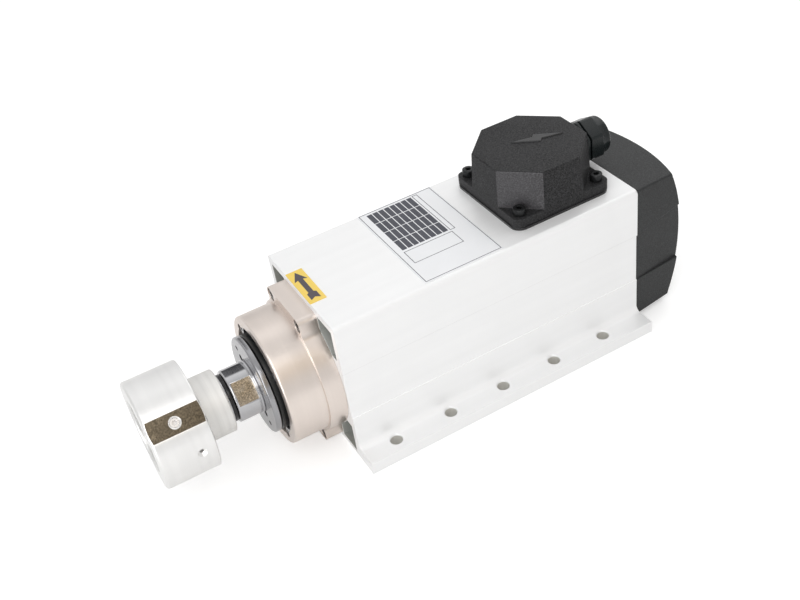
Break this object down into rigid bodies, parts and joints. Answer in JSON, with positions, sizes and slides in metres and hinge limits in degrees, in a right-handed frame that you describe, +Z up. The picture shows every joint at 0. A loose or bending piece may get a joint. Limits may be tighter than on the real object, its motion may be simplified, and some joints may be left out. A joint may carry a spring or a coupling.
{
  "type": "motor spindle",
  "caption": "Square-bodied fan-cooled motor spindle with a bolt-down foot, terminal box, cable gland and a turning tool hub with a plain socket.",
  "frame": {"origin": "middle of the foot's bolt pattern, on the mounting face under the foot", "axes": "+X along the spindle from the tool hub to the fan cover, +Z up from the mounting face, +Y across the foot"},
  "size_m": [0.3317, 0.11, 0.1229],
  "materials": {
    "anodised_body": "satin pale anodised extrusion",
    "plated_nose": "nickel-plated, turned",
    "screw_steel": "bright plated",
    "black_oxide": "black oxide",
    "bearing_steel": "ground bearing steel",
    "bearing_cage": "machined brass",
    "lamination": "stacked electrical steel",
    "winding": "varnished copper",
    "ground_shaft": "ground and polished",
    "polished_ring": "turned and polished",
    "machined_aluminium": "bright turned",
    "cast_bracket": "die cast",
    "fan_plastic": "glass-filled nylon",
    "textured_plastic": "fine spark-textured black",
    "gasket_rubber": "moulded",
    "block_plastic": "thermoset",
    "stud_brass": "plain brass",
    "gland_plastic": "semi-matt polyamide",
    "plate_film": "printed polyester film",
    "arrow_film": "printed polyester film"
  },
  "bodies": {
    "body": {"motor_housing": "anodised_body", "front_bearing_housing": "plated_nose", "front_flange_screws": "screw_steel", "front_bearing_cap": "black_oxide", "front_cap_screws": "screw_steel", "front_bearing_outer_rings": "bearing_steel", "outer_ring_spacer": "bearing_steel", "stator_core": "lamination", "stator_windings": "winding", "rear_bearing_bracket": "cast_bracket", "rear_bearing_outer_ring": "bearing_steel", "preload_washer": "screw_steel", "fan_cover": "textured_plastic", "fan_cover_screws": "black_oxide", "terminal_box_gasket": "gasket_rubber", "terminal_box_hood": "textured_plastic", "terminal_box_screws": "black_oxide", "terminal_block": "block_plastic", "terminal_studs": "stud_brass", "cable_gland_body": "gland_plastic", "gland_seal": "gasket_rubber", "gland_clamp_nut": "gland_plastic", "gland_lock_nut": "gland_plastic", "rating_plate": "plate_film", "direction_plate": "arrow_film"},
    "rotor": {"shaft": "ground_shaft", "neck_ring": "gasket_rubber", "slinger_disc": "polished_ring", "bearing_lock_nut": "screw_steel", "front_bearing_inner_rings": "bearing_steel", "inner_ring_spacer": "bearing_steel", "rotor_core": "lamination", "rear_bearing_inner_ring": "bearing_steel", "cooling_fan": "fan_plastic", "fan_circlip": "screw_steel", "tool_hub": "machined_aluminium", "tool_set_screws": "screw_steel", "hub_retaining_screw": "screw_steel", "hub_washer": "screw_steel"},
    "front_ball_sets": {"front_bearing_cages": "bearing_cage", "front_bearing_balls": "bearing_steel"},
    "rear_ball_set": {"rear_bearing_cage": "bearing_cage", "rear_bearing_balls": "bearing_steel"}
  },
  "joints": [
    {"name": "rotor_spin", "type": "hinge", "parent": "body", "child": "rotor", "pos_m": [0, 0, 0.046], "axis": [1, 0, 0], "continuous": true},
    {"name": "front_balls_orbit", "type": "hinge", "parent": "body", "child": "front_ball_sets", "pos_m": [0, 0, 0.046], "axis": [1, 0, 0], "continuous": true},
    {"name": "rear_balls_orbit", "type": "hinge", "parent": "body", "child": "rear_ball_set", "pos_m": [0, 0, 0.046], "axis": [1, 0, 0], "continuous": true}
  ],
  "couplings": [
    {"joint": "front_balls_orbit", "follows": "rotor_spin", "ratio": 0.4167},
    {"joint": "rear_balls_orbit", "follows": "rotor_spin", "ratio": 0.3877}
  ]
}
